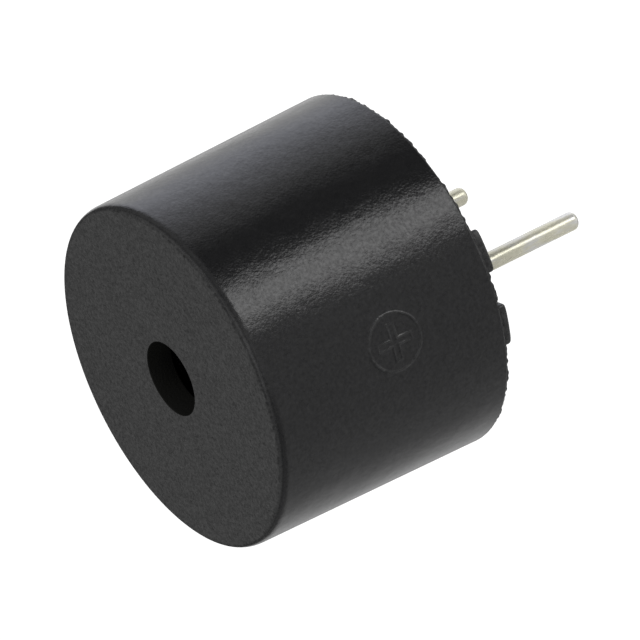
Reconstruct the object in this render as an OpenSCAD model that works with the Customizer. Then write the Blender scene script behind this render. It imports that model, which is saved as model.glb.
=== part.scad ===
// Magnetic buzzer with a built-in drive circuit, for a printed circuit board.
// Millimetres. Z = 0 is the seating plane, where the stand-off feet touch the
// customer's board. +Z points out of the sound hole and the terminals point to -Z.
// The two terminals lie on the X axis, the positive one at +X.

/* [Case] */
// Outside diameter of the case at its open rim
case_d = 12; // [11.8:0.1:14]
// Height of the case from its rim to the sound face
case_h = 8.65; // [8.4:0.05:11]
// Wall beside the inner parts, at the rim
case_wall = 0.8; // [0.6:0.05:0.85]
// Radius that the outer wall loses from the rim to the sound face, so that it leaves its mould
case_draft = 0.16; // [0:0.01:0.3]
// Thickness of the roof with the sound hole
roof_t = 0.9; // [0.6:0.05:1.1]
// Diameter of the sound hole
sound_hole_d = 2.5; // [1.5:0.1:3.5]
// Width of the ledge inside the case that stops the support ring
ledge_w = 0.5; // [0.4:0.05:0.7]
// How far the rounded edge of the sound face reaches in over the face
face_round = 0.17; // [0.05:0.01:0.3]
// How far the same edge reaches down the side, which is more, as the mould was polished there
face_round_h = 0.36; // [0.05:0.01:0.5]
// Radius on the outer edge of the rim
rim_round = 0.08; // [0.04:0.01:0.15]
// Radius in the corner between the roof and the wall of the chamber
chamber_round = 0.35; // [0.1:0.05:0.6]

/* [Stand-off feet] */
// Height of each foot below the rim
foot_h = 0.4; // [0.3:0.05:0.8]
// Length of each foot along the rim
foot_len = 1.4; // [1:0.1:2]
// Width of each foot across the rim
foot_w = 0.5; // [0.3:0.05:0.5]
// How far the outside of a foot stands in from the outside of the rim
foot_inset = 0.24; // [0.1:0.02:0.3]
// Angle from the line through the terminals to the middle of a foot
foot_angle = 12.9; // [11:0.1:20]
// Radius on the lower corners of a foot
foot_round = 0.2; // [0.1:0.02:0.28]

/* [Terminals] */
// Diameter of the free shaft of a terminal
pin_d = 0.6; // [0.5:0.05:0.65]
// Distance from the bore of the case to the axis of each terminal, which sets the pitch
pin_inset = 1.95; // [1.3:0.05:2]
// Length of the positive terminal below the seating plane
pin_reach_plus = 4.6; // [2:0.1:7]
// Length of the negative terminal below the seating plane
pin_reach_minus = 4.6; // [2:0.1:7]
// Diameter of the thicker shank that a terminal has in the resin and the board
shank_d = 1; // [0.95:0.05:1.1]
// Diameter of the head that lies on the board
pin_head_d = 1.3; // [1.2:0.05:1.35]
// Thickness of that head
pin_head_t = 0.2; // [0.1:0.05:0.4]
// Radius on the free end of a terminal
pin_tip_round = 0.2; // [0.05:0.01:0.24]

/* [Circuit board and seal] */
// How deep the face of the sealing resin lies inside the rim
seal_recess = 0.1; // [0.05:0.05:0.5]
// Thickness of the resin left under the transistor, the tallest part on the board
seal_skin = 0.2; // [0.1:0.05:0.4]
// Thickness of the circuit board
board_t = 0.6; // [0.4:0.05:0.8]
// Length, width and height of the transistor's moulded body
transistor_size = [2.9, 1.3, 0.95];
// Distance from the axis to the middle of the transistor
transistor_y = 2.5; // [2.3:0.1:2.9]
// Length, width and height of the chip resistor
resistor_size = [1.6, 0.8, 0.45];
// Distance from the axis to the middle of the resistor
resistor_y = 2.5; // [2:0.1:3]

/* [Magnet circuit] */
// Thickness of the steel yoke plate
yoke_t = 0.8; // [0.6:0.05:1]
// Diameter of the holes in the yoke that clear the heads of the terminals
yoke_clear_d = 1.6; // [1.4:0.05:1.8]
// Diameter of the pole core
core_d = 3; // [2.6:0.1:3.2]
// Diameter of the spigot that rivets the core into the yoke
spigot_d = 2; // [1.5:0.1:2.3]
// Height of the pole core above the yoke
core_h = 3.15; // [3:0.05:3.3]
// Height of the ring magnet
magnet_h = 3; // [2.9:0.05:3.3]
// Share of the room outside the core that the magnet takes. The windings have the rest
magnet_share = 0.39; // [0.34:0.01:0.44]
// Chamfer on the edges of the ring magnet
magnet_chamfer = 0.12; // [0.05:0.01:0.25]

/* [Windings] */
// Height of the drive winding
drive_h = 2.7; // [2:0.05:2.8]
// Width of the feedback winding from its bore to its outside
feedback_w = 0.49; // [0.3:0.01:0.6]
// Width of the lane between the windings and the magnet, where the winding ends go down
lane_w = 0.35; // [0.3:0.01:0.5]
// Radius on the edges of the windings
winding_round = 0.08; // [0.04:0.01:0.12]
// Diameter of the winding wire where it leaves a winding
wire_d = 0.1; // [0.08:0.01:0.12]

/* [Diaphragm and support ring] */
// Wall of the support ring beside the magnet
support_wall = 0.4; // [0.35:0.01:0.5]
// Wall of the support ring round the diaphragm
recess_wall = 0.3; // [0.25:0.01:0.4]
// Thickness of the diaphragm
diaphragm_t = 0.08; // [0.05:0.01:0.12]
// Diameter of the weight in the middle of the diaphragm
weight_d = 3.8; // [3:0.1:4.5]
// Thickness of that weight
weight_t = 0.32; // [0.2:0.02:0.5]
// Thickness of the flange that the diaphragm lies on
flange_t = 0.5; // [0.35:0.05:0.6]
// How far that flange reaches in under the edge of the diaphragm
flange_w = 0.5; // [0.3:0.05:0.7]
// Depth of the recess round the diaphragm
recess_h = 0.3; // [0.2:0.02:0.4]

/* [Hidden] */
$fn = 96;

// Clearances: a part dropped into a bore, a part pressed home, and a wire in its hole.
drop_gap = 0.05;
press_gap = 0.01;
wire_gap = 0.05;

// The transistor stands off the board by its legs.
body_lift = 0.1;

// Heights, from the seating plane up.
seal_t = body_lift + transistor_size.z + drop_gap + seal_skin;
z_rim = foot_h;
z_seal = z_rim + seal_recess;
z_board = z_seal + seal_t;
z_board_top = z_board + board_t;
z_yoke_top = z_board_top + yoke_t;
z_flange = z_yoke_top + magnet_h + drop_gap;
z_seat = z_flange + flange_t;
z_ledge = z_seat + recess_h;
z_face = z_rim + case_h;
z_roof = z_face - roof_t;

// Radii that parts share, from the outside to the middle.
bore_r = case_d / 2 - case_wall;
chamber_r = bore_r - ledge_w;
inner_r = bore_r - drop_gap;
recess_r = inner_r - recess_wall;
diaphragm_r = recess_r - drop_gap;
flange_r = diaphragm_r - flange_w;
core_r = core_d / 2;
magnet_r = inner_r - support_wall - drop_gap;
magnet_bore_r = magnet_r - magnet_share * (magnet_r - core_r);
feedback_r = magnet_bore_r - lane_w;
drive_r = feedback_r - feedback_w - press_gap;
winding_bore_r = core_r + drop_gap;
foot_out_r = case_d / 2 - foot_inset;
foot_sink = rim_round + 0.12;
pin_r = pin_d / 2;
shank_r = shank_d / 2;
pin_x = bore_r - pin_inset;

// The ends of the drive winding leave below its rounded edge, over the feedback winding.
feedback_h = drive_h - winding_round - wire_d - 2 * press_gap;

// The winding ends run down between the feedback winding and the magnet.
lead_r = magnet_bore_r - lane_w / 2;
lead_angles_drive = [35, 145];
lead_angles_feedback = [215, 325];
lead_angles = concat(lead_angles_drive, lead_angles_feedback);
lead_tail = 0.12;
lead_ball_d = wire_d * 1.4;
lead_dot_r = 0.24;
lead_dot_h = 0.2;

// Small parts under the board.
leg_w = 0.4;
leg_t = 0.12;
leg_reach = 0.55;
leg_pitch = 1.9;
cap_l = 0.3;
fillet_l = 0.22;
fillet_h = 0.16;
solder_land_w = 0.28;
solder_h = 0.62;
solder_lip = 0.03;

// Points on an arc about [cx, cy] from angle a0 to angle a1. With ry it is part of an ellipse.
function arc(cx, cy, r, a0, a1, n = 6, ry = 0) =
    [for (i = [0:n]) let (a = a0 + (a1 - a0) * i / n)
        [cx + r * cos(a), cy + (ry > 0 ? ry : r) * sin(a)]];

// Radius of the drafted outer wall at height z.
function wall_r(z) = case_d / 2 - case_draft * (z - z_rim) / case_h;

// A ring of rectangular section.
module ring(r_in, r_out, z0, z1) {
    rotate_extrude() translate([r_in, z0]) square([r_out - r_in, z1 - z0]);
}

// A rectangle from x = 0 with its two outer corners rounded.
module rounded_section(w, h, r) {
    square([w - r, h]);
    translate([0, r]) square([w, h - 2 * r]);
    for (y = [r, h - r]) translate([w - r, y]) circle(r, $fn = 48);
}

// Half-section of the case: bore, ledge, chamber, roof with sound hole, outer wall.
module case_section() {
    polygon(concat(
        [[bore_r, z_rim]],
        arc(case_d / 2 - rim_round, z_rim + rim_round, rim_round, 270, 360),
        arc(wall_r(z_face - face_round_h) - face_round, z_face - face_round_h, face_round, 0, 90,
            8, face_round_h),
        [[sound_hole_d / 2, z_face], [sound_hole_d / 2, z_roof]],
        arc(chamber_r - chamber_round, z_roof - chamber_round, chamber_round, 90, 0),
        [[chamber_r, z_ledge], [bore_r, z_ledge]]
    ));
}

// Outline of a foot seen from outside: x along the rim, y up, lower corners rounded.
module foot_outline() {
    top = foot_h + foot_sink;
    translate([-foot_len / 2, foot_round]) square([foot_len, top - foot_round]);
    translate([-foot_len / 2 + foot_round, 0]) square([foot_len - 2 * foot_round, top]);
    for (s = [-1, 1])
        translate([s * (foot_len / 2 - foot_round), foot_round]) circle(foot_round, $fn = 48);
}

// One stand-off foot, a piece of the rim carried down to the seating plane.
module foot() {
    intersection() {
        ring(foot_out_r - foot_w, foot_out_r, 0, foot_h + foot_sink);
        rotate([90, 0, 90]) linear_extrude(case_d) foot_outline();
    }
}

// Moulded cup. Its feet stand in pairs beside each terminal.
module case() {
    color([0.05, 0.05, 0.055]) {
        rotate_extrude() case_section();
        for (side = [0, 180], s = [-1, 1]) rotate(side + s * foot_angle) foot();
    }
}

// Thin steel disc that the magnet holds down on the support ring.
module diaphragm() {
    color("silver") translate([0, 0, z_seat]) cylinder(h = diaphragm_t, r = diaphragm_r);
}

// Iron disc welded on the middle of the diaphragm.
module diaphragm_weight() {
    color("gray") translate([0, 0, z_seat + diaphragm_t]) cylinder(h = weight_t, d = weight_d);
}

// Plastic ring round the magnet, with the seat of the diaphragm at its top.
module support_ring() {
    fit_r = magnet_r + drop_gap;
    color("dimgray") rotate_extrude() polygon([
        [fit_r, z_yoke_top], [inner_r, z_yoke_top], [inner_r, z_ledge], [recess_r, z_ledge],
        [recess_r, z_seat], [flange_r, z_seat], [flange_r, z_flange], [fit_r, z_flange]
    ]);
}

// Magnetised ring that stands on the yoke round the windings.
module ring_magnet() {
    r_in = magnet_bore_r;
    r_out = magnet_r;
    z_top = z_yoke_top + magnet_h;
    c = magnet_chamfer;
    color([0.2, 0.2, 0.22]) rotate_extrude() polygon([
        [r_in + c, z_yoke_top], [r_out - c, z_yoke_top], [r_out, z_yoke_top + c], [r_out, z_top - c],
        [r_out - c, z_top], [r_in + c, z_top], [r_in, z_top - c], [r_in, z_yoke_top + c]
    ]);
}

// Places its children at both terminals.
module at_pins() {
    for (s = [-1, 1]) translate([s * pin_x, 0, 0]) children();
}

// Places its children where the winding ends go down.
module at_leads(angles) {
    for (a = angles) rotate(a) translate([lead_r, 0, 0]) children();
}

// Steel plate under the magnet, cleared for the terminal heads and the winding ends.
module yoke_plate() {
    color("silver") translate([0, 0, z_board_top]) difference() {
        cylinder(h = yoke_t, r = inner_r);
        translate([0, 0, -1]) {
            cylinder(h = yoke_t + 2, d = spigot_d);
            at_pins() cylinder(h = yoke_t + 2, d = yoke_clear_d);
            at_leads(lead_angles) cylinder(h = yoke_t + 2, d = wire_d + 4 * wire_gap);
        }
    }
}

// Iron post in the middle of the windings, riveted into the yoke plate.
module pole_core() {
    color("silver") {
        translate([0, 0, z_board_top]) cylinder(h = yoke_t, r = spigot_d / 2 - press_gap);
        translate([0, 0, z_yoke_top]) cylinder(h = core_h, r = core_r);
    }
}

// A winding end from radius r_start at height z_top out to the lead radius, then down to the board.
module winding_end(r_start, z_top) {
    translate([r_start, 0, z_top]) rotate([0, 90, 0]) cylinder(h = lead_r - r_start, d = wire_d);
    translate([lead_r, 0, z_top]) sphere(d = lead_ball_d);
    translate([lead_r, 0, z_board - lead_tail]) cylinder(h = z_top - z_board + lead_tail, d = wire_d);
}

// Inner winding, which drives the diaphragm. Its ends leave over the top of the outer winding.
module drive_winding() {
    color([0.72, 0.4, 0.2]) {
        translate([0, 0, z_yoke_top]) rotate_extrude() translate([winding_bore_r, 0])
            rounded_section(drive_r - winding_bore_r, drive_h, winding_round);
        for (a = lead_angles_drive) rotate(a)
            winding_end((winding_bore_r + drive_r) / 2, z_yoke_top + feedback_h + press_gap + wire_d / 2);
    }
}

// Outer winding, which senses the diaphragm. Its ends leave near the yoke.
module feedback_winding() {
    color([0.78, 0.46, 0.24]) {
        translate([0, 0, z_yoke_top]) rotate_extrude() translate([drive_r + press_gap, 0])
            rounded_section(feedback_r - drive_r - press_gap, feedback_h, winding_round);
        for (a = lead_angles_feedback) rotate(a)
            winding_end((drive_r + feedback_r) / 2, z_yoke_top + winding_round + wire_d);
    }
}

// Round board that carries the magnet circuit above and the drive circuit below.
module circuit_board() {
    color([0.1, 0.32, 0.14]) translate([0, 0, z_board]) difference() {
        cylinder(h = board_t, r = inner_r);
        translate([0, 0, -1]) {
            at_pins() cylinder(h = board_t + 2, r = shank_r + press_gap);
            at_leads(lead_angles) cylinder(h = board_t + 2, d = wire_d + 2 * wire_gap);
        }
    }
}

// Places its children under the board at a height below it, at y on the board.
module under_board(y) {
    translate([0, y, z_board]) mirror([0, 0, 1]) children();
}

// Moulded body of the drive transistor, drafted both ways from its parting line.
module transistor_body() {
    size = transistor_size;
    mid = size.z / 2;
    taper = 0.94;
    color([0.08, 0.08, 0.08]) under_board(transistor_y) translate([0, 0, body_lift + mid]) {
        linear_extrude(mid, scale = taper) square([size.x, size.y], center = true);
        mirror([0, 0, 1]) linear_extrude(mid, scale = taper) square([size.x, size.y], center = true);
    }
}

// Side view of a leg: out of the body, over to the board, and a flat toe on it.
module leg_section() {
    z_mid = body_lift + transistor_size.z / 2;
    shoulder = leg_reach * 0.35;
    polygon([
        [0, z_mid - leg_t / 2], [shoulder - leg_t / 2, z_mid - leg_t / 2], [shoulder, leg_t],
        [shoulder, 0], [leg_reach, 0], [leg_reach, leg_t], [shoulder + leg_t, leg_t],
        [shoulder + leg_t / 2, z_mid + leg_t / 2], [0, z_mid + leg_t / 2]
    ]);
}

// Places its children at the root of each leg, with +X pointing away from the body.
module at_legs() {
    side_y = transistor_size.y / 2;
    under_board(transistor_y) {
        translate([0, side_y, 0]) rotate(90) children();
        for (s = [-1, 1]) translate([s * leg_pitch / 2, -side_y, 0]) rotate(-90) children();
    }
}

// Three tinned legs of the drive transistor.
module transistor_legs() {
    color("silver") at_legs() rotate([90, 0, 0]) linear_extrude(leg_w, center = true) leg_section();
}

// Ceramic body of the chip resistor between its end caps.
module resistor_body() {
    size = resistor_size;
    color([0.15, 0.15, 0.16]) under_board(-resistor_y)
        translate([-size.x / 2 + cap_l, -size.y / 2, 0]) cube([size.x - 2 * cap_l, size.y, size.z]);
}

// Two tinned end caps of the chip resistor.
module resistor_caps() {
    size = resistor_size;
    color("silver") under_board(-resistor_y)
        for (s = [0, 1]) mirror([s, 0, 0])
            translate([size.x / 2 - cap_l, -size.y / 2, 0]) cube([cap_l, size.y, size.z]);
}

// A wedge of solder on the board, w wide, that rises towards -X.
module solder_wedge(w) {
    rotate([90, 0, 0]) linear_extrude(w, center = true)
        polygon([[0, 0], [fillet_l, 0], [fillet_l * 0.4, fillet_h * 0.35], [0, fillet_h]]);
}

// Solder at the toes of the legs and at the ends of the resistor.
module component_solder() {
    color([0.75, 0.75, 0.74]) {
        at_legs() translate([leg_reach, 0, 0]) solder_wedge(leg_w);
        under_board(-resistor_y) for (s = [0, 1]) mirror([s, 0, 0])
            translate([resistor_size.x / 2, 0, 0]) solder_wedge(resistor_size.y);
    }
}

// Solder dots that hold the four winding ends under the board.
module lead_solder() {
    color([0.75, 0.75, 0.74]) difference() {
        at_leads(lead_angles) translate([0, 0, z_board - lead_dot_h])
            cylinder(h = lead_dot_h, r1 = lead_dot_r * 0.5, r2 = lead_dot_r);
        at_leads(lead_angles) translate([0, 0, z_board - lead_tail])
            cylinder(h = lead_tail + 1, r = wire_d / 2);
    }
}

// Hollow-sided cone of solder round each terminal under the board.
module pin_solder() {
    side = [for (i = [0:6]) let (t = i / 6)
        [shank_r + solder_land_w * pow(t, 2) + solder_lip, z_board - solder_h * (1 - t)]];
    color([0.75, 0.75, 0.74]) at_pins() rotate_extrude()
        polygon(concat([[shank_r, z_board], [shank_r, z_board - solder_h]], side));
}

// A stepped terminal: a thin free end, a thicker shank in the resin and the board, and a
// flat head on top of the board.
module pin(reach) {
    color([0.82, 0.82, 0.8]) rotate_extrude() polygon(concat(
        [[0, z_board_top + pin_head_t], [0, -reach]],
        arc(pin_r - pin_tip_round, -reach + pin_tip_round, pin_tip_round, 270, 360),
        [[pin_r, z_seal], [shank_r, z_seal], [shank_r, z_board_top],
         [pin_head_d / 2, z_board_top], [pin_head_d / 2, z_board_top + pin_head_t]]
    ));
}

module pin_plus() {
    translate([pin_x, 0, 0]) pin(pin_reach_plus);
}

module pin_minus() {
    translate([-pin_x, 0, 0]) pin(pin_reach_minus);
}

// Room that the resin leaves round the transistor, its legs and their solder.
module transistor_pocket() {
    reach = transistor_size.y / 2 + leg_reach + fillet_l + drop_gap;
    depth = body_lift + transistor_size.z + drop_gap;
    under_board(transistor_y) translate([-transistor_size.x / 2 - drop_gap, -reach, -1])
        cube([transistor_size.x + 2 * drop_gap, 2 * reach, depth + 1]);
}

// Room that the resin leaves round the resistor and its solder.
module resistor_pocket() {
    reach = resistor_size.x / 2 + fillet_l + drop_gap;
    under_board(-resistor_y) translate([-reach, -resistor_size.y / 2 - drop_gap, -1])
        cube([2 * reach, resistor_size.y + 2 * drop_gap, resistor_size.z + drop_gap + 1]);
}

// Resin poured in under the board. Its face is level with the shoulders of the terminals.
module base_seal() {
    color([0.07, 0.07, 0.07]) difference() {
        translate([0, 0, z_seal]) cylinder(h = seal_t, r = bore_r);
        at_pins() {
            translate([0, 0, z_seal - 1]) cylinder(h = seal_t + 2, r = shank_r + press_gap);
            translate([0, 0, z_board - solder_h - drop_gap]) cylinder(
                h = solder_h + drop_gap, r1 = shank_r + solder_lip + drop_gap,
                r2 = shank_r + solder_land_w + solder_lip + drop_gap
            );
        }
        at_leads(lead_angles) translate([0, 0, z_board - lead_dot_h - drop_gap])
            cylinder(h = lead_dot_h + drop_gap + 1, r = lead_dot_r + drop_gap);
        transistor_pocket();
        resistor_pocket();
    }
}

case();
diaphragm();
diaphragm_weight();
support_ring();
ring_magnet();
yoke_plate();
pole_core();
drive_winding();
feedback_winding();
circuit_board();
transistor_body();
transistor_legs();
resistor_body();
resistor_caps();
component_solder();
lead_solder();
pin_solder();
pin_plus();
pin_minus();
base_seal();
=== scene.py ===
# %% [markdown]
# # A magnetic buzzer, dressed for its portrait
#
# The object is a small sounder for a circuit board: a black moulded cup 12 mm across, with a round sound
# hole in its end face, four little stand-off feet on its open rim and two tinned terminals.
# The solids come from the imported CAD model. This script gives them their finishes, and replaces the pieces
# that show most, the cup with its feet and the terminals, by finer ones. It also adds what is too fine for
# the solids: the polarity mark, the flash on the rim and the fillets at the edge of the sealing resin.
# Everything is in metres, Z points out of the sound hole, and Z = 0 is where the feet touch the board.

import math

import bpy
import numpy as np
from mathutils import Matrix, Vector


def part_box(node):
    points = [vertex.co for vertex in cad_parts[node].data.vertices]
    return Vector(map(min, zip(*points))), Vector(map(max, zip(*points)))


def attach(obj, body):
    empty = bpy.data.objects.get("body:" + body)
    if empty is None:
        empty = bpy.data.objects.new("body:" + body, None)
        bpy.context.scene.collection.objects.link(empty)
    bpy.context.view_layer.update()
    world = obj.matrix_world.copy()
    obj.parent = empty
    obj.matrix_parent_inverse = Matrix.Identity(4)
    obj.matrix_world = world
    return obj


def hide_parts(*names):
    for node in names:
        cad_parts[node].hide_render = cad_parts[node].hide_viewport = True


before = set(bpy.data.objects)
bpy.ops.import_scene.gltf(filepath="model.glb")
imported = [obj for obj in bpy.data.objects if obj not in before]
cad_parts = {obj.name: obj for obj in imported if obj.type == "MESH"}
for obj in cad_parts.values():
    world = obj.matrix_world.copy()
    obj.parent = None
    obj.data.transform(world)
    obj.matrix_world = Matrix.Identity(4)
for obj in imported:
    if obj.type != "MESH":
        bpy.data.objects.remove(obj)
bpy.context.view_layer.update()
MM = 0.001

# %% [markdown]
# ## The camera
#
# A long lens far away keeps the cylinder's sides parallel, as a catalogue picture does. The camera stands
# 26 degrees above the plane of the rim. It is also rolled by 116 degrees about its own line of sight, so
# that the buzzer lies on its side in the picture with its face to the lower left. Angles are easier to read
# and to correct than a matrix, so the matrix is built from azimuth, elevation and roll.

# %% Camera
AZIMUTH, ELEVATION, ROLL = 20.3, 26.24, -116.3
CAMERA_DISTANCE = 390 * MM
CAMERA_TARGET = (0.52 * MM, -0.25 * MM, 3.69 * MM)


def aim_camera(camera, azimuth, elevation, roll, distance, target):
    """Puts the camera at a distance from the target, on the direction (cos e cos a, cos e sin a, sin e).

    A level picture has one axis level and the other at right angles to it and to the line of sight. The roll
    turns both about the line of sight."""
    a, e, r = (math.radians(v) for v in (azimuth, elevation, roll))
    back = np.array([math.cos(e) * math.cos(a), math.cos(e) * math.sin(a), math.sin(e)])
    level = np.cross([0.0, 0.0, 1.0], back)
    level /= np.linalg.norm(level)
    rise = np.cross(back, level)
    right = math.cos(r) * level + math.sin(r) * rise
    up = np.cross(back, right)
    matrix = np.eye(4)
    matrix[:3, 0], matrix[:3, 1], matrix[:3, 2] = right, up, back
    matrix[:3, 3] = np.array(target) + distance * back
    camera.matrix_world = matrix.T.tolist()


lens = bpy.data.cameras.new("long_lens")
lens.lens, lens.sensor_width = 700.0, 36.0
lens.clip_start, lens.clip_end = 0.01, 10.0
camera = bpy.data.objects.new("camera", lens)
bpy.context.scene.collection.objects.link(camera)
bpy.context.scene.camera = camera
aim_camera(camera, AZIMUTH, ELEVATION, ROLL, CAMERA_DISTANCE, CAMERA_TARGET)
print("camera at", [round(v, 4) for v in camera.matrix_world.translation])

# %% [markdown]
# ## Sizes
#
# The finer pieces have to sit exactly where the solids are, so their sizes are read from the boxes of the CAD
# nodes wherever a box can tell them, and typed only where it can't.

# %% Sizes read from the frame
case_low, case_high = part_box("case")
seal_low, seal_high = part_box("base_seal")
ledge_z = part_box("support_ring")[1].z
RIM_R = case_high.x
FACE_Z = case_high.z
FOOT_H = 0.4 * MM
RIM_Z = case_low.z + FOOT_H
BORE_R = seal_high.x
SEAL_Z = seal_low.z
# The draft, the thickness of the roof, the hole and the chamber don't show in a box.
DRAFT = 0.16 * MM
ROOF = 0.9 * MM
HOLE_R = 1.25 * MM
CHAMBER_R = BORE_R - 0.5 * MM


def wall_radius(z):
    """Radius of the drafted side: RIM_R at the rim, less by DRAFT at the face, straight between them."""
    return RIM_R - DRAFT * (z - RIM_Z) / (FACE_Z - RIM_Z)


print(f"rim radius {RIM_R / MM:.2f} mm, face at {FACE_Z / MM:.2f} mm, resin at {SEAL_Z / MM:.2f} mm")

# %% [markdown]
# ## Turning a grid into a mesh
#
# Every new piece here is a grid: rows follow a profile and columns go round. Working the points out as whole
# numpy arrays is quick and keeps the formula in view. One helper makes the faces. It can close the columns
# round an axis and the rows into a loop, which leaves no seam, and it can cap a row with a single pole.

# %% Grid helper
def grid_faces(rows, columns, close_rows=False):
    """Quads between neighbouring rows and columns. Columns always wrap round, rows wrap if close_rows."""
    r = np.arange(rows if close_rows else rows - 1)[:, None]
    c = np.arange(columns)[None, :]
    r2, c2 = (r + 1) % rows, (c + 1) % columns
    quads = np.stack([r * columns + c, r * columns + c2, r2 * columns + c2, r2 * columns + c], -1)
    return quads.reshape(-1, 4)


def cap_faces(row_start, columns, pole, flip):
    """Triangles from one row of the grid to a pole point."""
    c = np.arange(columns)
    a, b = row_start + c, row_start + (c + 1) % columns
    pair = (b, a) if flip else (a, b)
    return np.stack([*pair, np.full(columns, pole)], -1)


def capped_faces(rows, columns, start=0):
    """Faces of a grid whose points begin at start. The two points after it are the poles of its two ends."""
    pole = start + rows * columns
    sides = grid_faces(rows, columns) + start
    first_cap = cap_faces(start, columns, pole, True)
    last_cap = cap_faces(pole - columns, columns, pole + 1, False)
    return [*sides, *first_cap, *last_cap]


def make_piece(name, points, faces, attributes=None):
    """A smooth-shaded mesh object at the origin, with its place in its mesh, that rides on the one body."""
    points = points.reshape(-1, 3)
    mesh = bpy.data.meshes.new(name)
    mesh.from_pydata(points.tolist(), [], [f.tolist() for f in faces])
    mesh.validate()
    mesh.polygons.foreach_set("use_smooth", np.ones(len(mesh.polygons), bool))
    for key, values in (attributes or {}).items():
        layer = mesh.attributes.new(key, "FLOAT", "POINT")
        layer.data.foreach_set("value", np.asarray(values, np.float32).ravel())
    mesh.update()
    piece = bpy.data.objects.new(name, mesh)
    bpy.context.scene.collection.objects.link(piece)
    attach(piece, "root")
    print(f"{name}: {len(mesh.vertices)} points, {len(mesh.polygons)} faces, "
          f"from {np.round(points.min(0) / MM, 2)} to {np.round(points.max(0) / MM, 2)} mm")
    return piece


def turned(radius, height, angles, centre=(0.0, 0.0)):
    """Points of a profile turned about an upright axis: radius and height may vary from column to column."""
    radius, height = np.broadcast_arrays(radius, height + np.zeros_like(angles))
    return np.stack([centre[0] + radius * np.cos(angles), centre[1] + radius * np.sin(angles), height], -1)


def arc_points(centre_r, centre_z, half_r, half_z, start, stop, count):
    """Points on an elliptical arc in the (radius, height) plane, from one angle to another in degrees."""
    t = np.radians(np.linspace(start, stop, count))
    return np.stack([centre_r + half_r * np.cos(t), centre_z + half_z * np.sin(t)], -1)


print("grid helpers ready")

# %% [markdown]
# ## The polarity mark
#
# A ring with a plus in it stands on the side above the positive terminal. The mould maker cuts it with a
# fine ball cutter along its outline, so it comes out as thin rounded beads a few hundredths of a millimetre
# high: one round the ring and one round the edge of a fat plus. A bump map would fake the shading, but real
# relief catches the light on one flank of each bead from every side, so the radius of the wall carries it
# as a height field. The distance from a point to the outline is worked out first, then turned into a bead.

# %% Relief of the polarity mark
MARK_ANGLE = 0.0
MARK_Z = RIM_Z + 3.85 * MM
MARK_R = 0.945 * MM
MARK_RISE = 0.029 * MM
ARM_LONG, ARM_WIDE = 0.62 * MM, 0.113 * MM
RING_BEAD, PLUS_BEAD = 0.078 * MM, 0.068 * MM


def bead(distance, half_width):
    """Height of a rounded bead, 1 on its crest and 0 from half_width on: cos^2 of the share of half_width."""
    return np.cos(np.clip(np.abs(distance) / half_width, 0, 1) * math.pi / 2) ** 2


def box_distance(u, v, half_u, half_v):
    """Signed distance to a rectangle: the length of the overshoot outside, the nearer side inside."""
    du, dv = np.abs(u) - half_u, np.abs(v) - half_v
    return np.hypot(np.maximum(du, 0), np.maximum(dv, 0)) + np.minimum(np.maximum(du, dv), 0)


def mark_relief(angle, z):
    """Height of the beads above the wall, in metres: the higher of the ring and the edge of the plus.

    The plus is two crossed bars, and the lesser of the two distances goes round both. A product of two
    sines makes the beads lower in places, where the plastic didn't fill the mould."""
    across = (angle - MARK_ANGLE) * RIM_R
    along = z - MARK_Z
    ring = bead(np.hypot(across, along) - MARK_R, RING_BEAD)
    cross = np.minimum(box_distance(across, along, ARM_LONG, ARM_WIDE),
                       box_distance(across, along, ARM_WIDE, ARM_LONG))
    uneven = 0.72 + 0.28 * np.sin(5.0 * across / MM + 1.0) * np.sin(4.0 * along / MM + 2.0)
    return MARK_RISE * uneven * np.maximum(ring, 0.9 * bead(cross, PLUS_BEAD))


print("the mark stands", round(MARK_Z / MM, 2), "mm up and rises", MARK_RISE / MM, "mm")

# %% [markdown]
# ## The moulded cup
#
# The cup is one closed profile turned about Z: the rim, the drafted side, the rounded edge of the face, the
# face, the sound hole, the inside of the roof, the chamber, the ledge and the bore. A turned profile needs
# no boolean. Columns and rows are crowded together round the mark, where the relief needs them, and stay
# wide elsewhere, so the piece stays light. The rounded edge of the face is part of an ellipse, because it
# reaches further down the side than in along the face.

# %% Profile of the cup
RIM_ROUND, HOLE_ROUND, ROOF_ROUND, CHAMBER_ROUND = 0.08 * MM, 0.04 * MM, 0.03 * MM, 0.35 * MM
EDGE_DOWN, EDGE_IN = 0.36 * MM, 0.17 * MM
MARK_ROOM = 1.05 * MM
POLISHED, ERODED = 0.0, 2.0


def corner(centre_r, centre_z, round_r, start, stop, count):
    """Points on an arc of a circle in the (radius, height) plane."""
    return arc_points(centre_r, centre_z, round_r, round_r, start, stop, count)


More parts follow.
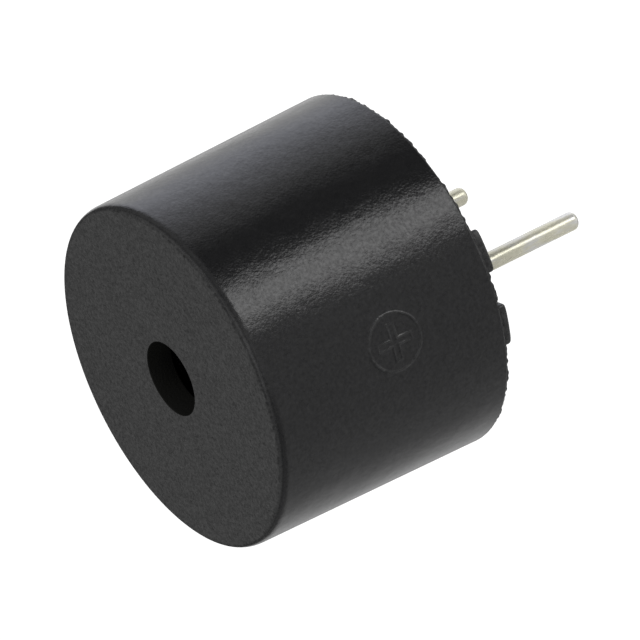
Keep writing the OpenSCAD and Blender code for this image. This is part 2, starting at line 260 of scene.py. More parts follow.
def cup_profile():
    """Rows of (radius, height) and their finish, up the side, over the face, down the hole and back down.

    Finish is POLISHED where the mould is polished, and ERODED where its grain covers everything. Over the
    edge of the face it grows with the fourth power of the way, so that the gloss ends late."""
    side_low, side_high = RIM_Z + RIM_ROUND, FACE_Z - EDGE_DOWN
    mark_low, mark_high = MARK_Z - MARK_ROOM, MARK_Z + MARK_ROOM
    side_z = np.concatenate([
        np.linspace(side_low, mark_low, 9)[:-1],
        np.linspace(mark_low, mark_high, 122),
        np.linspace(mark_high, side_high, 16)[1:],
    ])
    side = np.stack([wall_radius(side_z), side_z], -1)
    edge_r = wall_radius(side_high)
    roof_z = FACE_Z - ROOF
    face_r = np.linspace(edge_r - EDGE_IN - 0.07 * MM, HOLE_R + 2 * HOLE_ROUND, 24)
    parts = [
        (np.array([[BORE_R + 0.05 * MM, RIM_Z], [RIM_R - 0.3 * MM, RIM_Z]]), 0.6),
        (corner(RIM_R - RIM_ROUND, RIM_Z + RIM_ROUND, RIM_ROUND, -90, -10, 6), 0.3),
        (side, POLISHED),
        (arc_points(edge_r - EDGE_IN, side_high, EDGE_IN, EDGE_DOWN, 4, 90, 22), None),
        (np.stack([face_r, np.full_like(face_r, FACE_Z)], -1), ERODED),
        (corner(HOLE_R + HOLE_ROUND, FACE_Z - HOLE_ROUND, HOLE_ROUND, 90, 180, 6), ERODED),
        (corner(HOLE_R + ROOF_ROUND, roof_z + ROOF_ROUND, ROOF_ROUND, 180, 270, 5), ERODED),
        (corner(CHAMBER_R - CHAMBER_ROUND, roof_z - CHAMBER_ROUND, CHAMBER_ROUND, 90, 0, 8), ERODED),
        (np.array([[CHAMBER_R, ledge_z], [BORE_R, ledge_z], [BORE_R, RIM_Z + 0.04 * MM]]), ERODED),
    ]
    rows = np.concatenate([p for p, _ in parts])
    finish = np.concatenate([
        np.full(len(p), f) if f is not None else np.linspace(0, 1, len(p)) ** 4 for p, f in parts
    ])
    return rows, finish


profile, finish = cup_profile()
print("profile of the cup:", len(profile), "rows")


# %% Mesh of the cup
def cup_angles():
    """Column angles all the way round: 0.17 degrees apart beside the mark and 2.2 degrees elsewhere."""
    fine = MARK_ANGLE + np.radians(np.arange(-10.2, 10.21, 0.17))
    coarse = np.linspace(fine[-1], fine[0] + 2 * math.pi, 156)[1:-1]
    return np.concatenate([fine, coarse])


angles = cup_angles()
wide = np.zeros((1, len(angles)))
radius = profile[:, :1] + wide
height = profile[:, 1:] + wide
signed_angle = np.where(angles > math.pi, angles - 2 * math.pi, angles) + np.zeros_like(radius)
on_side = finish[:, None] < 0.01
relief = np.where(on_side, mark_relief(signed_angle, height), 0.0)
# Handling dulls the crest of the beads a little, so they get a share of the grain.
grain_share = finish[:, None] + 0.36 * relief / MARK_RISE
# The sound hole and the eroded surfaces under the face get the inside attribute, where the case plastic
# paints shade: a darker colour and almost no gloss.
in_hole = profile[:, 0] < HOLE_R + 0.02 * MM
below_face = profile[:, 1] < FACE_Z - 0.06 * MM
inside = (in_hole | below_face) & (finish > 0.9)
cup = make_piece(
    "case_shell",
    turned(radius + relief, height, angles[None, :]),
    grid_faces(len(profile), len(angles), close_rows=True),
    {"grain": grain_share, "inside": inside[:, None] + wide},
)
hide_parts("case")

# %% [markdown]
# ## Stand-off feet
#
# The feet lift the rim off the board, so that flux can be washed out after soldering. Each is a short
# curved block with soft corners. Its plan is a superellipse, a squared ellipse, bent round the rim. Going
# down, the plan shrinks along a quarter circle, which rounds the lower edge, and it ends in a flat pad. Its
# upper end is sunk into the rim, so that no gap can show.

# %% Feet
FOOT_R = 5.51 * MM
FOOT_ANGLE = 12.9
FOOT_HALF_LONG, FOOT_HALF_WIDE = 0.7 * MM, 0.25 * MM
FOOT_ROUND = 0.12 * MM
FOOT_SUNK = 0.2 * MM
PLAN_POWER = 0.3


def foot_points(centre_angle, columns=72):
    """A foot as rows of one closed outline, shrunk row by row towards the pad.

    The outline is (a |cos t|^p, b |sin t|^p) with the signs of cos t and sin t. That is the superellipse
    |u / a|^n + |v / b|^n = 1 with n = 2 / p."""
    t = np.linspace(0, 2 * math.pi, columns, endpoint=False)
    u = np.sign(np.cos(t)) * np.abs(np.cos(t)) ** PLAN_POWER
    v = np.sign(np.sin(t)) * np.abs(np.sin(t)) ** PLAN_POWER
    bend = np.radians(np.linspace(0, 90, 9))
    pad_rows = [FOOT_ROUND + 0.03 * MM, FOOT_ROUND + 0.06 * MM]
    shrink = np.concatenate([[0.0], FOOT_ROUND * (1 - np.cos(bend)), pad_rows])
    rise = np.concatenate([[FOOT_H + FOOT_SUNK], FOOT_ROUND * (1 - np.sin(bend)), [0.0, 0.0]])
    along = (FOOT_HALF_LONG - shrink[:, None]) * u
    across = (FOOT_HALF_WIDE - shrink[:, None]) * v + FOOT_R
    z = case_low.z + rise[:, None]
    a = centre_angle + along / FOOT_R
    return np.stack([across * np.cos(a), across * np.sin(a), z + np.zeros_like(a)], -1)


foot_sets, foot_faces = [], []
for centre in np.radians([FOOT_ANGLE, -FOOT_ANGLE, 180 - FOOT_ANGLE, 180 + FOOT_ANGLE]):
    grid = foot_points(centre)
    start = sum(len(points) for points in foot_sets)
    foot_sets.append(np.concatenate([grid.reshape(-1, 3), [grid[0].mean(0), grid[-1].mean(0)]]))
    foot_faces += capped_faces(*grid.shape[:2], start)
foot_set = np.concatenate(foot_sets)
feet = make_piece("stand_off_feet", foot_set, foot_faces, {"grain": np.full(len(foot_set), 0.35)})

# %% [markdown]
# ## Flash on the rim
#
# The rim lies where the two halves of the mould meet. A little plastic creeps into that gap and leaves a
# thin, broken burr along the outer edge. A noise in the material can't change an outline, so the burr is
# real geometry: a narrow closed ring whose height is a sum of waves round the rim, sunk into the rim
# wherever it is low.

# %% Rim flash
FLASH_MEAN, FLASH_WAVE = 0.008, 0.02
FLASH_LOWEST, FLASH_HIGHEST = -0.02, 0.045


def rim_flash_points(columns=1080):
    """Rows of a narrow ring. How far it hangs from the rim is a sum of sines with seeded phases.

    The sum is cut off at both ends, and the burr leans outwards by a share of how far it hangs."""
    random = np.random.default_rng(12)
    t = np.linspace(0, 2 * math.pi, columns, endpoint=False)[None, :]
    counts = np.array([3, 7, 13, 22, 38, 61, 97, 150])[:, None]
    waves = np.sin(counts * t + random.uniform(0, 2 * math.pi, (len(counts), 1))).sum(0, keepdims=True) / 2
    drop = np.clip(FLASH_MEAN + FLASH_WAVE * waves, FLASH_LOWEST, FLASH_HIGHEST) * MM
    lean = np.clip(drop, 0, None) * 0.3
    edge = RIM_R - 0.03 * MM
    radius = np.concatenate([edge + 0 * t, edge + lean, edge - 0.03 * MM + lean, edge - 0.05 * MM + 0 * t])
    height = RIM_Z + np.concatenate([0.04 * MM + 0 * t, -drop, -0.9 * drop, 0.04 * MM + 0 * t])
    return turned(radius, height, t)


flash_grid = rim_flash_points()
flash_faces = grid_faces(*flash_grid.shape[:2], close_rows=True)[:, ::-1]
flash = make_piece("rim_flash", flash_grid, flash_faces, {"grain": np.full(flash_grid.shape[:2], 0.5)})

# %% [markdown]
# ## Terminals
#
# The terminals are cropped from tinned wire, and their ends are rounded so that they find the holes of a
# board. A lathe profile does it: a rounded tip, the thin free end, the thicker shank in the resin and the
# head. Hot-dipped tin is never quite even, so the radius of the shaft waves by about a micrometre.

# %% Terminals
SHAFT_R, SHANK_R, HEAD_R = 0.3 * MM, 0.5 * MM, 0.65 * MM
HEAD_H = 0.2 * MM
TIP_ROUND = 0.2 * MM
SHAFT_ROWS = 60
TIN_WAVE = 0.002


def terminal_profile(tip_z, top_z):
    """Rows of (radius, height) from the tip to the head, and how many of them are free of the resin.

    The tip is a quarter circle round a small flat end."""
    board_z = top_z - HEAD_H
    tip = corner(SHAFT_R - TIP_ROUND, tip_z + TIP_ROUND, TIP_ROUND, -88, 0, 12)
    shaft_z = np.linspace(tip_z + TIP_ROUND + 0.04 * MM, SEAL_Z, SHAFT_ROWS)
    shaft = np.stack([np.full(SHAFT_ROWS, SHAFT_R), shaft_z], -1)
    held = np.array([
        [SHANK_R, SEAL_Z + 0.005 * MM], [SHANK_R, board_z], [HEAD_R, board_z], [HEAD_R, top_z],
    ])
    return np.concatenate([tip, shaft, held]), len(tip) + SHAFT_ROWS


def make_terminal(name, node_name, columns=64):
    """A turned terminal in the place of a CAD node. The free end is thinner by a sum of three sines."""
    low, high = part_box(node_name)
    rows, free = terminal_profile(low.z, high.z)
    t = np.linspace(0, 2 * math.pi, columns, endpoint=False)[None, :]
    z = rows[:, 1:]
    z_mm = z / MM
    wave = np.sin(2 * t + 1.7 * z_mm) + 0.8 * np.sin(3 * t - 3.1 * z_mm) + 0.6 * np.sin(5.3 * z_mm)
    is_free = (np.arange(len(rows)) < free)[:, None]
    radius = rows[:, :1] * (1 - TIN_WAVE * is_free * (1 + wave / 2.4))
    middle = (low.x + high.x) / 2
    points = turned(radius, z, t, (middle, 0.0)).reshape(-1, 3)
    poles = np.array([[middle, 0, low.z], [middle, 0, high.z]])
    piece = make_piece(name, np.concatenate([points, poles]), capped_faces(len(rows), columns))
    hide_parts(node_name)
    return piece


terminals = [make_terminal("terminal_plus", "pin_plus"), make_terminal("terminal_minus", "pin_minus")]

# %% [markdown]
# ## Edge of the sealing resin
#
# Liquid resin creeps up whatever it touches before it sets. A hollow fillet follows the bore and each
# terminal. Each is a small closed profile turned about its own axis, and the three make one piece.

# %% Resin fillets
RESIN_BACK = 0.03 * MM


def fillet_ring(centre, wall_r, reach, climb, inside_wall, columns):
    """A ring of resin round a wall: its climb falls off as (1 - t)^2.2, with t the share of the reach.

    It stands inside a bore or round a terminal, and its back is sunk into the resin."""
    t = np.linspace(0, 1, 12)
    side = -1.0 if inside_wall else 1.0
    r = wall_r + side * reach * t
    z = SEAL_Z - climb * (1 - t) ** 2.2
    back = np.array([[wall_r + side * reach, SEAL_Z + RESIN_BACK], [wall_r, SEAL_Z + RESIN_BACK]])
    loop = np.concatenate([np.stack([r, z], -1), back])
    a = np.linspace(0, 2 * math.pi, columns, endpoint=False)[None, :]
    points = turned(loop[:, :1] + np.zeros_like(a), loop[:, 1:], a, centre)
    faces = grid_faces(len(loop), columns, close_rows=True)
    return points.reshape(-1, 3), faces[:, ::-1] if inside_wall else faces


pin_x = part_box("pin_plus")[1].x - HEAD_R
round_pin = (SHAFT_R - 0.003 * MM, 0.4 * MM, 0.16 * MM, False, 48)
resin_sets, resin_faces = [], []
for centre, ring in (
    ((0.0, 0.0), (BORE_R - 0.001 * MM, 0.35 * MM, 0.08 * MM, True, 160)),
    ((pin_x, 0.0), round_pin),
    ((-pin_x, 0.0), round_pin),
):
    points, faces = fillet_ring(centre, *ring)
    resin_faces += list(faces + sum(len(done) for done in resin_sets))
    resin_sets.append(points)
resin_edge = make_piece("resin_fillets", np.concatenate(resin_sets), resin_faces)

# %% [markdown]
# ## Node helpers for the finishes
#
# A finish is a small tree of nodes. A few helpers keep the trees short: one starts a material with a
# Principled shader, one blends two colours or numbers, and one adds a noise on Object coordinates, which
# stays fixed to the piece. Scales are in waves per millimetre, because the object is so small.

# %% Node helpers
def new_finish(name, colour, roughness, metallic=0.0):
    """A material with one Principled shader. Values that are the same all over sit on its sockets."""
    material = bpy.data.materials.new(name)
    material.use_nodes = True
    shader = material.node_tree.nodes["Principled BSDF"]
    shader.inputs["Base Color"].default_value = (*colour, 1)
    shader.inputs["Roughness"].default_value = roughness
    shader.inputs["Metallic"].default_value = metallic
    shader.inputs["IOR"].default_value = 1.5
    return material, shader


def node(owner, kind, **values):
    """A new node in the tree of a material or a world, with some of its properties set."""
    made = owner.node_tree.nodes.new(kind)
    for key, value in values.items():
        setattr(made, key, value)
    return made


def link(owner, source, target):
    owner.node_tree.links.new(source, target)


def blend(owner, factor, a, b, kind="FLOAT"):
    """a where the factor is 0 and b where it is 1, for numbers or, with kind RGBA, for colours."""
    mixed = node(owner, "ShaderNodeMix", data_type=kind)
    wanted = {"FLOAT": "VALUE", "RGBA": "RGBA"}[kind]
    sockets = [s for s in mixed.inputs if s.type == wanted and s.enabled][-2:]
    link(owner, factor, mixed.inputs[0])
    for socket, value in zip(sockets, (a, b)):
        if isinstance(value, (int, float)):
            socket.default_value = value
        elif isinstance(value, tuple):
            socket.default_value = (*value, 1)
        else:
            link(owner, value, socket)
    return [s for s in mixed.outputs if s.type == wanted and s.enabled][0]


def tint(owner, factor, dark, light):
    """A colour between dark and light."""
    return blend(owner, factor, dark, light, "RGBA")


print("node helpers ready")


# %% Pattern helpers
def noise(material, per_mm, detail=3.0, roughness=0.5, stretch=(1, 1, 1)):
    """Noise with a number of waves per millimetre on Object coordinates, from 0 to 1."""
    where = node(material, "ShaderNodeTexCoord")
    scale = node(material, "ShaderNodeMapping")
    scale.inputs["Scale"].default_value = [per_mm / MM * s for s in stretch]
    texture = node(material, "ShaderNodeTexNoise")
    texture.inputs["Scale"].default_value = 1.0
    texture.inputs["Detail"].default_value = detail
    texture.inputs["Roughness"].default_value = roughness
    link(material, where.outputs["Object"], scale.inputs["Vector"])
    link(material, scale.outputs["Vector"], texture.inputs["Vector"])
    return texture.outputs["Fac"]


def spread(material, value, low, high, from_low=0.3, from_high=0.7):
    """Stretches the middle range of a noise, where most of it lies, to low .. high."""
    ranged = node(material, "ShaderNodeMapRange")
    for key, number in (("From Min", from_low), ("From Max", from_high), ("To Min", low), ("To Max", high)):
        ranged.inputs[key].default_value = number
    link(material, value, ranged.inputs["Value"])
    return ranged.outputs["Result"]


def bump(material, height, depth_mm, below=None):
    """A bump from a 0 .. 1 height that stands depth_mm tall, on top of the one below if there is one."""
    made = node(material, "ShaderNodeBump")
    made.inputs["Strength"].default_value = 1.0
    made.inputs["Distance"].default_value = depth_mm * MM
    link(material, height, made.inputs["Height"])
    if below is not None:
        link(material, below, made.inputs["Normal"])
    return made.outputs["Normal"]


print("pattern helpers ready")

# %% [markdown]
# ## Black moulded plastic
#
# The cup is a black moulded plastic. Its side comes off a polished part of the mould and is glossy, with the
# shallow uneven skin called orange peel. Its face comes off an eroded part of the mould and has a fine grain
# that hides the gloss. Both are one plastic, so one material makes both, and the grain attribute of the mesh
# says how much of the eroded finish a point has. A noise breaks it up, so that the finish doesn't stop at a
# clean line. Little light comes back out of the sound hole, so the inside attribute paints shade there: the
# chamber gets a darker colour and loses its gloss.

# %% Case plastic
case_plastic, case_shader = new_finish("case_plastic", (0.012, 0.012, 0.013), 0.3)
sink = noise(case_plastic, 0.22, 1.0)
peel_wide = noise(case_plastic, 1.3, 2.0)
peel_fine = noise(case_plastic, 12.0, 2.0, 0.6)
grit = noise(case_plastic, 11.0, 2.0, 0.6)
cloudy = noise(case_plastic, 3.0, 3.0, 0.6)
pitted = noise(case_plastic, 9.0, 2.0, 0.6)
patchy = noise(case_plastic, 7.0, 2.0)

grain_here = node(case_plastic, "ShaderNodeAttribute", attribute_name="grain").outputs["Fac"]
# The inside attribute marks the hole and the chamber, where shade is painted into the plastic.
painted_shade_inside = node(case_plastic, "ShaderNodeAttribute", attribute_name="inside").outputs["Fac"]
broken_up = node(case_plastic, "ShaderNodeMath", operation="MULTIPLY", use_clamp=True)
link(case_plastic, grain_here, broken_up.inputs[0])
link(case_plastic, spread(case_plastic, patchy, 0.3, 1.7), broken_up.inputs[1])
grain = broken_up.outputs[0]
noises = [n.name for n in case_plastic.node_tree.nodes if n.type == "TEX_NOISE"]
print("case plastic has", len(noises), "noises")


# %% Colour, gloss and skin of the case
# Painted shade: little light comes back out of the sound hole, so the hole and the chamber get a darker
# colour and almost no gloss.
PAINTED_SHADE_COLOUR, PAINTED_SHADE_GLOSS = (0.007, 0.007, 0.0065), 0.05
side_colour = tint(case_plastic, cloudy, (0.008, 0.008, 0.0085), (0.013, 0.013, 0.0135))
grit_sharp = spread(case_plastic, grit, 0.0, 1.0)
face_colour = tint(case_plastic, grit_sharp, (0.030, 0.030, 0.030), (0.056, 0.056, 0.056))
outer_colour = tint(case_plastic, grain, side_colour, face_colour)
link(case_plastic, tint(case_plastic, painted_shade_inside, outer_colour, PAINTED_SHADE_COLOUR), case_shader.inputs["Base Color"])

gloss_rough = spread(case_plastic, peel_fine, 0.08, 0.2)
grain_rough = spread(case_plastic, grit, 0.5, 0.7)
link(case_plastic, blend(case_plastic, grain, gloss_rough, grain_rough), case_shader.inputs["Roughness"])
pits = spread(case_plastic, pitted, 0.36, 0.64)
gloss = blend(case_plastic, painted_shade_inside, pits, PAINTED_SHADE_GLOSS)
link(case_plastic, gloss, case_shader.inputs["Specular IOR Level"])

skin = bump(case_plastic, sink, 0.11)
skin = bump(case_plastic, peel_wide, 0.02, skin)
skin = bump(case_plastic, peel_fine, 0.008, skin)
skin = bump(case_plastic, blend(case_plastic, grain, 0.5, grit), 0.025, skin)
link(case_plastic, skin, case_shader.inputs["Normal"])
for piece in (cup, feet, flash):
    piece.data.materials.append(case_plastic)
print("case plastic:", len(case_plastic.node_tree.nodes), "nodes")

# %% [markdown]
# ## Tin on the terminals
#
# Tin plate on a terminal isn't a clean mirror. Its oxide scatters about half of the light like frosted
# glass, and the rest still mirrors the room as soft lines along the wire. So the shader is half metallic.
# Solder flux and handling leave cream patches, drawn out along the wire by the dip. The roughness follows
# the patches, and a very shallow bump follows the streaks and specks.

# %% Tin
tin, tin_shader = new_finish("tin_plate", (0.66, 0.65, 0.63), 0.25, metallic=0.5)
cloud = noise(tin, 2.6, 4.0, 0.6, (1, 1, 0.3))
streak = noise(tin, 9.0, 3.0, 0.6, (1, 1, 0.15))
speck = noise(tin, 7.0, 3.0, 0.7, (1, 1, 0.5))
clean = tint(tin, streak, (0.66, 0.655, 0.635), (0.80, 0.795, 0.765))
stained = tint(tin, speck, (0.56, 0.54, 0.42), (0.86, 0.84, 0.69))
patches = spread(tin, cloud, 0.0, 1.0, 0.38, 0.52)
link(tin, tint(tin, patches, clean, stained), tin_shader.inputs["Base Color"])
link(tin, spread(tin, cloud, 0.16, 0.34), tin_shader.inputs["Roughness"])
link(tin, bump(tin, streak, 0.004, bump(tin, speck, 0.005)), tin_shader.inputs["Normal"])
for piece in terminals:
    piece.data.materials.append(tin)
print("tin:", len(tin.node_tree.nodes), "nodes")

# %% [markdown]
# ## Sealing resin
#
# Resin is poured in and levels itself. It sets black and glossy, with slow ripples where it shrank and a few
# specks of dust. It covers the base_seal node and the fillets, so both get this finish.

# %% Resin
resin, resin_shader = new_finish("sealing_resin", (0.015, 0.014, 0.013), 0.2)
ripple = noise(resin, 0.45, 2.0)
dust = noise(resin, 7.0, 2.0, 0.7)
dusty = tint(resin, dust, (0.012, 0.011, 0.010), (0.022, 0.021, 0.020))
link(resin, dusty, resin_shader.inputs["Base Color"])
link(resin, spread(resin, dust, 0.14, 0.34), resin_shader.inputs["Roughness"])
link(resin, bump(resin, dust, 0.0015, bump(resin, ripple, 0.03)), resin_shader.inputs["Normal"])
resin_edge.data.materials.append(resin)


def dress(node_name, material):
    """Gives a CAD node a finish through its material slots. Its mesh stays as it is."""
    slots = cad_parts[node_name].material_slots
    if not slots:
        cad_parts[node_name].data.materials.append(material)
    for slot in slots:
        slot.material = material


dress("base_seal", resin)
print("resin on", resin_edge.name, "and base_seal")

# %% [markdown]
# ## Finishes of the inner parts
#
# Little light reaches the magnet circuit, but somebody may open the model, so each inner part has the finish
# of the real one: rolled and plated steel, ground ferrite, enamelled copper, laminate, plastic and solder.
# Most of them are one pattern that changes the colour, the roughness and the bump together.

# %% Inner finishes
def patterned_finish(name, dark, light, rough, per_mm, depth, stretch=(1, 1, 1), metallic=0.0):
    """A finish with one noise in its colour, its roughness and its bump."""
    material, shader = new_finish(name, light, rough[0], metallic)
    pattern = noise(material, per_mm, 4.0, 0.6, stretch)
    link(material, tint(material, pattern, dark, light), shader.inputs["Base Color"])
    link(material, spread(material, pattern, *rough), shader.inputs["Roughness"])
    link(material, bump(material, pattern, depth), shader.inputs["Normal"])
    return material


METAL, EVEN = 1.0, (1, 1, 1)
rolled = patterned_finish(
    "rolled_steel", (0.42, 0.42, 0.42), (0.58, 0.58, 0.57), (0.3, 0.5), 6.0, 0.002, (0.1, 1, 1), METAL)
plated = patterned_finish(
    "plated_iron", (0.5, 0.49, 0.46), (0.66, 0.65, 0.61), (0.25, 0.45), 3.0, 0.003, EVEN, METAL)
solder = patterned_finish(
    "solder", (0.6, 0.6, 0.6), (0.78, 0.78, 0.77), (0.2, 0.42), 4.0, 0.006, EVEN, METAL)
ring_plastic = patterned_finish(
    "ring_plastic", (0.025, 0.025, 0.026), (0.045, 0.045, 0.046), (0.4, 0.6), 5.0, 0.004)
chip_black = patterned_finish(
    "chip_black", (0.018, 0.018, 0.018), (0.035, 0.035, 0.035), (0.5, 0.7), 9.0, 0.004)
laminate = patterned_finish(
    "laminate", (0.05, 0.15, 0.06), (0.09, 0.24, 0.10), (0.3, 0.5), 4.0, 0.003, (1, 0.3, 1))
print("steel, iron, solder, plastic and laminate ready")


# %% Ferrite and copper
ferrite, ferrite_shader = new_finish("ferrite", (0.05, 0.05, 0.055), 0.6)
ground = noise(ferrite, 10.0, 4.0, 0.7)
ferrite_colour = tint(ferrite, ground, (0.035, 0.035, 0.038), (0.075, 0.075, 0.08))
link(ferrite, ferrite_colour, ferrite_shader.inputs["Base Color"])
link(ferrite, bump(ferrite, ground, 0.006), ferrite_shader.inputs["Normal"])

copper, copper_shader = new_finish("enamelled_copper", (0.62, 0.25, 0.09), 0.3, METAL)
windings = node(copper, "ShaderNodeTexWave", wave_type="BANDS", bands_direction="Z")
windings.inputs["Scale"].default_value = 6.0 / MM
windings.inputs["Distortion"].default_value = 0.3
link(copper, node(copper, "ShaderNodeTexCoord").outputs["Object"], windings.inputs["Vector"])
wire = windings.outputs["Fac"]
link(copper, tint(copper, wire, (0.38, 0.13, 0.045), (0.70, 0.30, 0.11)), copper_shader.inputs["Base Color"])
link(copper, bump(copper, wire, 0.02), copper_shader.inputs["Normal"])
print("ferrite and copper ready")


# %% Where the inner finishes go
for names, material in (
    (("diaphragm", "diaphragm_weight"), rolled),
    (("yoke_plate", "pole_core"), plated),
    (("ring_magnet",), ferrite),
    (("support_ring",), ring_plastic),
    (("drive_winding", "feedback_winding"), copper),
    (("circuit_board",), laminate),
    (("transistor_body", "resistor_body"), chip_black),
    (("transistor_legs", "resistor_caps", "component_solder", "lead_solder", "pin_solder"), solder),
):
    for name in names:
        dress(name, material)
    print(material.name, "->", ", ".join(names))

# %% [markdown]
# ## Floor
#
# A plain pale floor lies well below the terminals, because the buzzer is held by them and doesn't stand. It
# takes the soft shadow. Its colour alone would render a little grey, so it adds a faint glow that only the
# camera sees. Reflections leave the floor out and show the lower half of the studio in its place. From below
# the floor lets the view through, so that the underside can be looked at.

# %% Floor
FLOOR_Z = -60 * MM
FLOOR_HALF = 3.0
floor_corners = [(x * FLOOR_HALF, y * FLOOR_HALF, FLOOR_Z) for x, y in ((-1, -1), (1, -1), (1, 1), (-1, 1))]
floor_mesh = bpy.data.meshes.new("floor")
floor_mesh.from_pydata(floor_corners, [], [(0, 1, 2, 3)])
floor = bpy.data.objects.new("floor", floor_mesh)
bpy.context.scene.collection.objects.link(floor)
floor.visible_glossy = False
print("floor at", FLOOR_Z / MM, "mm")


# %% Floor paper
GLOW = 0.30


def mix_shaders(owner, factor, a, b):
    """The shader a where the factor is 0 and b where it is 1."""
    mixed = node(owner, "ShaderNodeMixShader")
    for socket, source in zip(mixed.inputs, (factor, a, b)):
        link(owner, source, socket)
    return mixed.outputs[0]


paper, paper_shader = new_finish("floor_paper", (0.92, 0.92, 0.92), 0.9)
glow = node(paper, "ShaderNodeEmission")
glow.inputs["Strength"].default_value = GLOW
no_glow = node(paper, "ShaderNodeEmission")
no_glow.inputs["Strength"].default_value = 0.0
camera_ray = node(paper, "ShaderNodeLightPath").outputs["Is Camera Ray"]
lit_paper = node(paper, "ShaderNodeAddShader")
link(paper, paper_shader.outputs[0], lit_paper.inputs[0])
link(paper, mix_shaders(paper, camera_ray, no_glow.outputs[0], glow.outputs[0]), lit_paper.inputs[1])
from_below = node(paper, "ShaderNodeNewGeometry").outputs["Backfacing"]
see_through = node(paper, "ShaderNodeBsdfTransparent").outputs[0]
one_sided = mix_shaders(paper, from_below, lit_paper.outputs[0], see_through)
link(paper, one_sided, paper.node_tree.nodes["Material Output"].inputs["Surface"])
floor_mesh.materials.append(paper)
print("floor paper glows with", GLOW)

# %% [markdown]
# ## Studio round the buzzer
#
# A glossy black cylinder shows the room more than its own colour. So the world is a small studio, set up as
# for a product shot: an even grey room, a white backdrop with a darker gap next to it, a grey screen, a broad
# soft box, a strip light that draws the long highlight on the side, and a black card beside the strip that
# keeps the highlight's edge crisp. Each stands at its own azimuth and fades out at its edges. The camera
# looks down on the buzzer, so its side mirrors what stands lower than it does, and the equipment fills that
# band of heights. Elsewhere the room is plainer. Matt surfaces don't need the pattern, so they get one even
# level, and the camera sees plain white.

# %% Directions in the world
world = bpy.data.worlds.new("studio")
bpy.context.scene.world = world
world.use_nodes = True
world.node_tree.nodes.clear()


def calculate(operation, *values):
    """A Math node of the world, on numbers and on outputs of other nodes."""
    made = node(world, "ShaderNodeMath", operation=operation)
    for socket, value in zip(made.inputs, values):
        if isinstance(value, (int, float)):
            socket.default_value = value
        else:
            link(world, value, socket)
    return made.outputs[0]


split = node(world, "ShaderNodeSeparateXYZ")
link(world, node(world, "ShaderNodeTexCoord").outputs["Generated"], split.inputs[0])
ray_x, ray_y, ray_z = split.outputs
ray_azimuth = calculate("ARCTAN2", ray_y, ray_x)
azimuth_share = calculate("ADD", calculate("MULTIPLY", ray_azimuth, 0.5 / math.pi), 0.5)
height_share = calculate("ADD", calculate("MULTIPLY", ray_z, 0.5), 0.5)
print("world reads the azimuth and the height of a ray")


# %% Equipment of the studio
# Each row gives the azimuth in degrees, half the width, how far the edge fades, the brightness, and how blue
# it is. A later row stands in front of an earlier one.
ROOM_LEVEL = 0.42
EQUIPMENT = {
    "grey_screen": (-130, 10, 20, 0.6, 0.0),
    "soft_box": (150, 10, 50, 1.1, 0.1),
    "white_backdrop": (180, 10, 25, 0.8, 0.0),
    "gap_by_backdrop": (-160, 3, 12, 0.3, 0.0),
    "black_card": (75, 8, 20, 0.0, 0.0),
    "strip_light": (41, 6, 13, 2.8, 0.0),
}


def grey(level):
    return (level, level, level)


def stand(behind, azimuth, half, fade, bright, blue):
    """One piece of equipment in front of what is behind it.

    The angle is the ray's turn from the azimuth of the piece, wrapped to half a circle each way, without its
    sign. The share of the piece is 1 up to its half width and eases to 0 over the fade."""
    turned_by = calculate("SUBTRACT", ray_azimuth, math.radians(azimuth))
    angle = calculate("ABSOLUTE", calculate("WRAP", turned_by, math.pi, -math.pi))
    ease = node(world, "ShaderNodeMapRange", interpolation_type="SMOOTHSTEP")
    link(world, angle, ease.inputs["Value"])
    ease.inputs["From Min"].default_value = math.radians(half)
    ease.inputs["From Max"].default_value = math.radians(half + fade)
    ease.inputs["To Min"].default_value = 1.0
    ease.inputs["To Max"].default_value = 0.0
    colour = (bright * (1 - 0.4 * blue), bright * (1 - 0.2 * blue), bright * (1 + 0.8 * blue))
    return tint(world, ease.outputs[0], behind, colour)


around = grey(ROOM_LEVEL)
for row in EQUIPMENT.values():
    around = stand(around, *row)
print("studio with", ", ".join(EQUIPMENT))


# %% The plainer room
# The product of HEIGHTS, (height, brightness), and HORIZON, (azimuth, brightness), is the room away from the
# equipment. BAND, (height, share), says at which heights the equipment shows. Heights run from -1 to 1.
HEIGHTS = [
    (-1, 0.9), (-0.6, 0.9), (-0.2, 0.4), (-0.05, 0.5), (0.08, 0.5),
    (0.22, 0.12), (0.34, 0.5), (0.6, 0.9), (0.8, 0.3), (1, 0.1),
]
HORIZON = [
    (-180, 0.12), (-150, 0.1), (-120, 0.3), (-90, 0.5), (-30, 0.4), (-5, 0.9),
    (20, 1.2), (50, 0.6), (120, 0.7), (150, 0.25), (180, 0.12),
]
BAND = [(-1, 0.0), (-0.85, 0.0), (-0.7, 1.0), (-0.3, 1.0), (-0.16, 0.0), (1, 0.0)]


def level_ramp(stops, low, high, factor):
    """A grey that runs straight from stop to stop.

    A ramp's colours end at 1, so the levels are divided by the highest one and scaled back afterwards."""
    top = max(level for place, level in stops)
    made = node(world, "ShaderNodeValToRGB")
    ramp = made.color_ramp
    while len(ramp.elements) < len(stops):
        ramp.elements.new(0.5)
    for element, (place, level) in zip(ramp.elements, stops):
        element.position = (place - low) / (high - low)
        element.color = (*grey(level / top), 1)
    link(world, factor, made.inputs[0])
    scaled = node(world, "ShaderNodeVectorMath", operation="SCALE")
    link(world, made.outputs[0], scaled.inputs[0])
    scaled.inputs["Scale"].default_value = top
    return scaled.outputs[0]


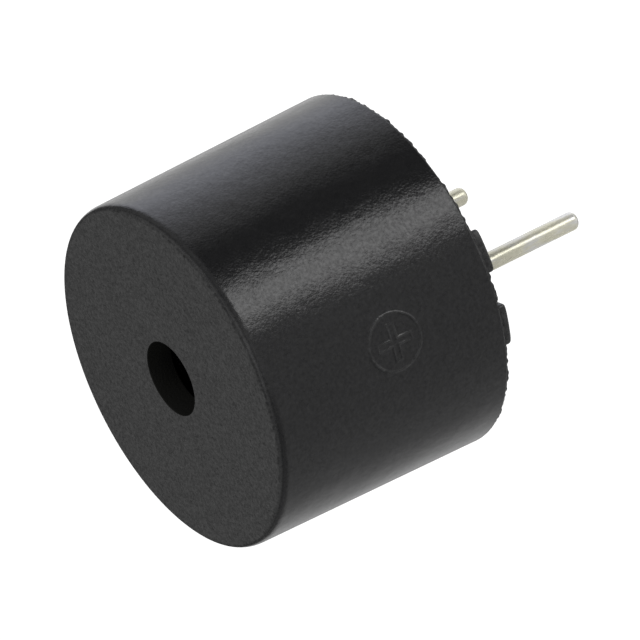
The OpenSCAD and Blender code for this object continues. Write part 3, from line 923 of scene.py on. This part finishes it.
plain_room = node(world, "ShaderNodeVectorMath", operation="MULTIPLY")
link(world, level_ramp(HEIGHTS, -1, 1, height_share), plain_room.inputs[0])
link(world, level_ramp(HORIZON, -180, 180, azimuth_share), plain_room.inputs[1])
studio = tint(world, level_ramp(BAND, -1, 1, height_share), plain_room.outputs[0], around)
print("plain room from", len(HEIGHTS), "heights and", len(HORIZON), "azimuths")


# %% What each kind of ray sees
MATT_LEVEL = 0.55
rays = node(world, "ShaderNodeLightPath")
mirror_ray = calculate("MAXIMUM", rays.outputs["Is Glossy Ray"], rays.outputs["Is Transmission Ray"])
room = tint(world, mirror_ray, grey(MATT_LEVEL), studio)
sky = node(world, "ShaderNodeBackground")
link(world, tint(world, rays.outputs["Is Camera Ray"], room, grey(1.0)), sky.inputs["Color"])
link(world, sky.outputs[0], node(world, "ShaderNodeOutputWorld").inputs["Surface"])
print("world has", len(world.node_tree.nodes), "nodes")

# %% [markdown]
# ## Lamps
#
# Two large soft lamps shape the form: a key from above one side and a weaker fill from the other. They are
# close to a plain level, at which a colour renders about as it is written. Reflections leave them out, so
# that the studio alone draws the highlights.

# %% Lamps
LAMP_SIZE = 0.35
BUZZER_MIDDLE = np.array([0, 0, 4.7 * MM])


def soft_lamp(name, place, power):
    """A square area lamp that faces the middle of the buzzer."""
    data = bpy.data.lights.new(name, "AREA")
    data.size, data.energy = LAMP_SIZE, power
    lamp = bpy.data.objects.new(name, data)
    bpy.context.scene.collection.objects.link(lamp)
    back = np.array(place) - BUZZER_MIDDLE
    back = back / np.linalg.norm(back)
    side = np.cross([0.0, 0.0, 1.0], back)
    side = side / np.linalg.norm(side)
    matrix = np.eye(4)
    matrix[:3, 0], matrix[:3, 1], matrix[:3, 2], matrix[:3, 3] = side, np.cross(back, side), back, place
    lamp.matrix_world = matrix.T.tolist()
    lamp.visible_camera = False
    lamp.visible_glossy = False
    print(name, "at", place, "power", power)


soft_lamp("key", (0.10, 0.42, 0.38), 2.2)
soft_lamp("fill", (0.30, -0.40, 0.30), 0.9)

# %% [markdown]
# ## Last setting
#
# The script ends by setting the Standard view transform.

# %% Finish
bpy.context.scene.view_settings.view_transform = "Standard"
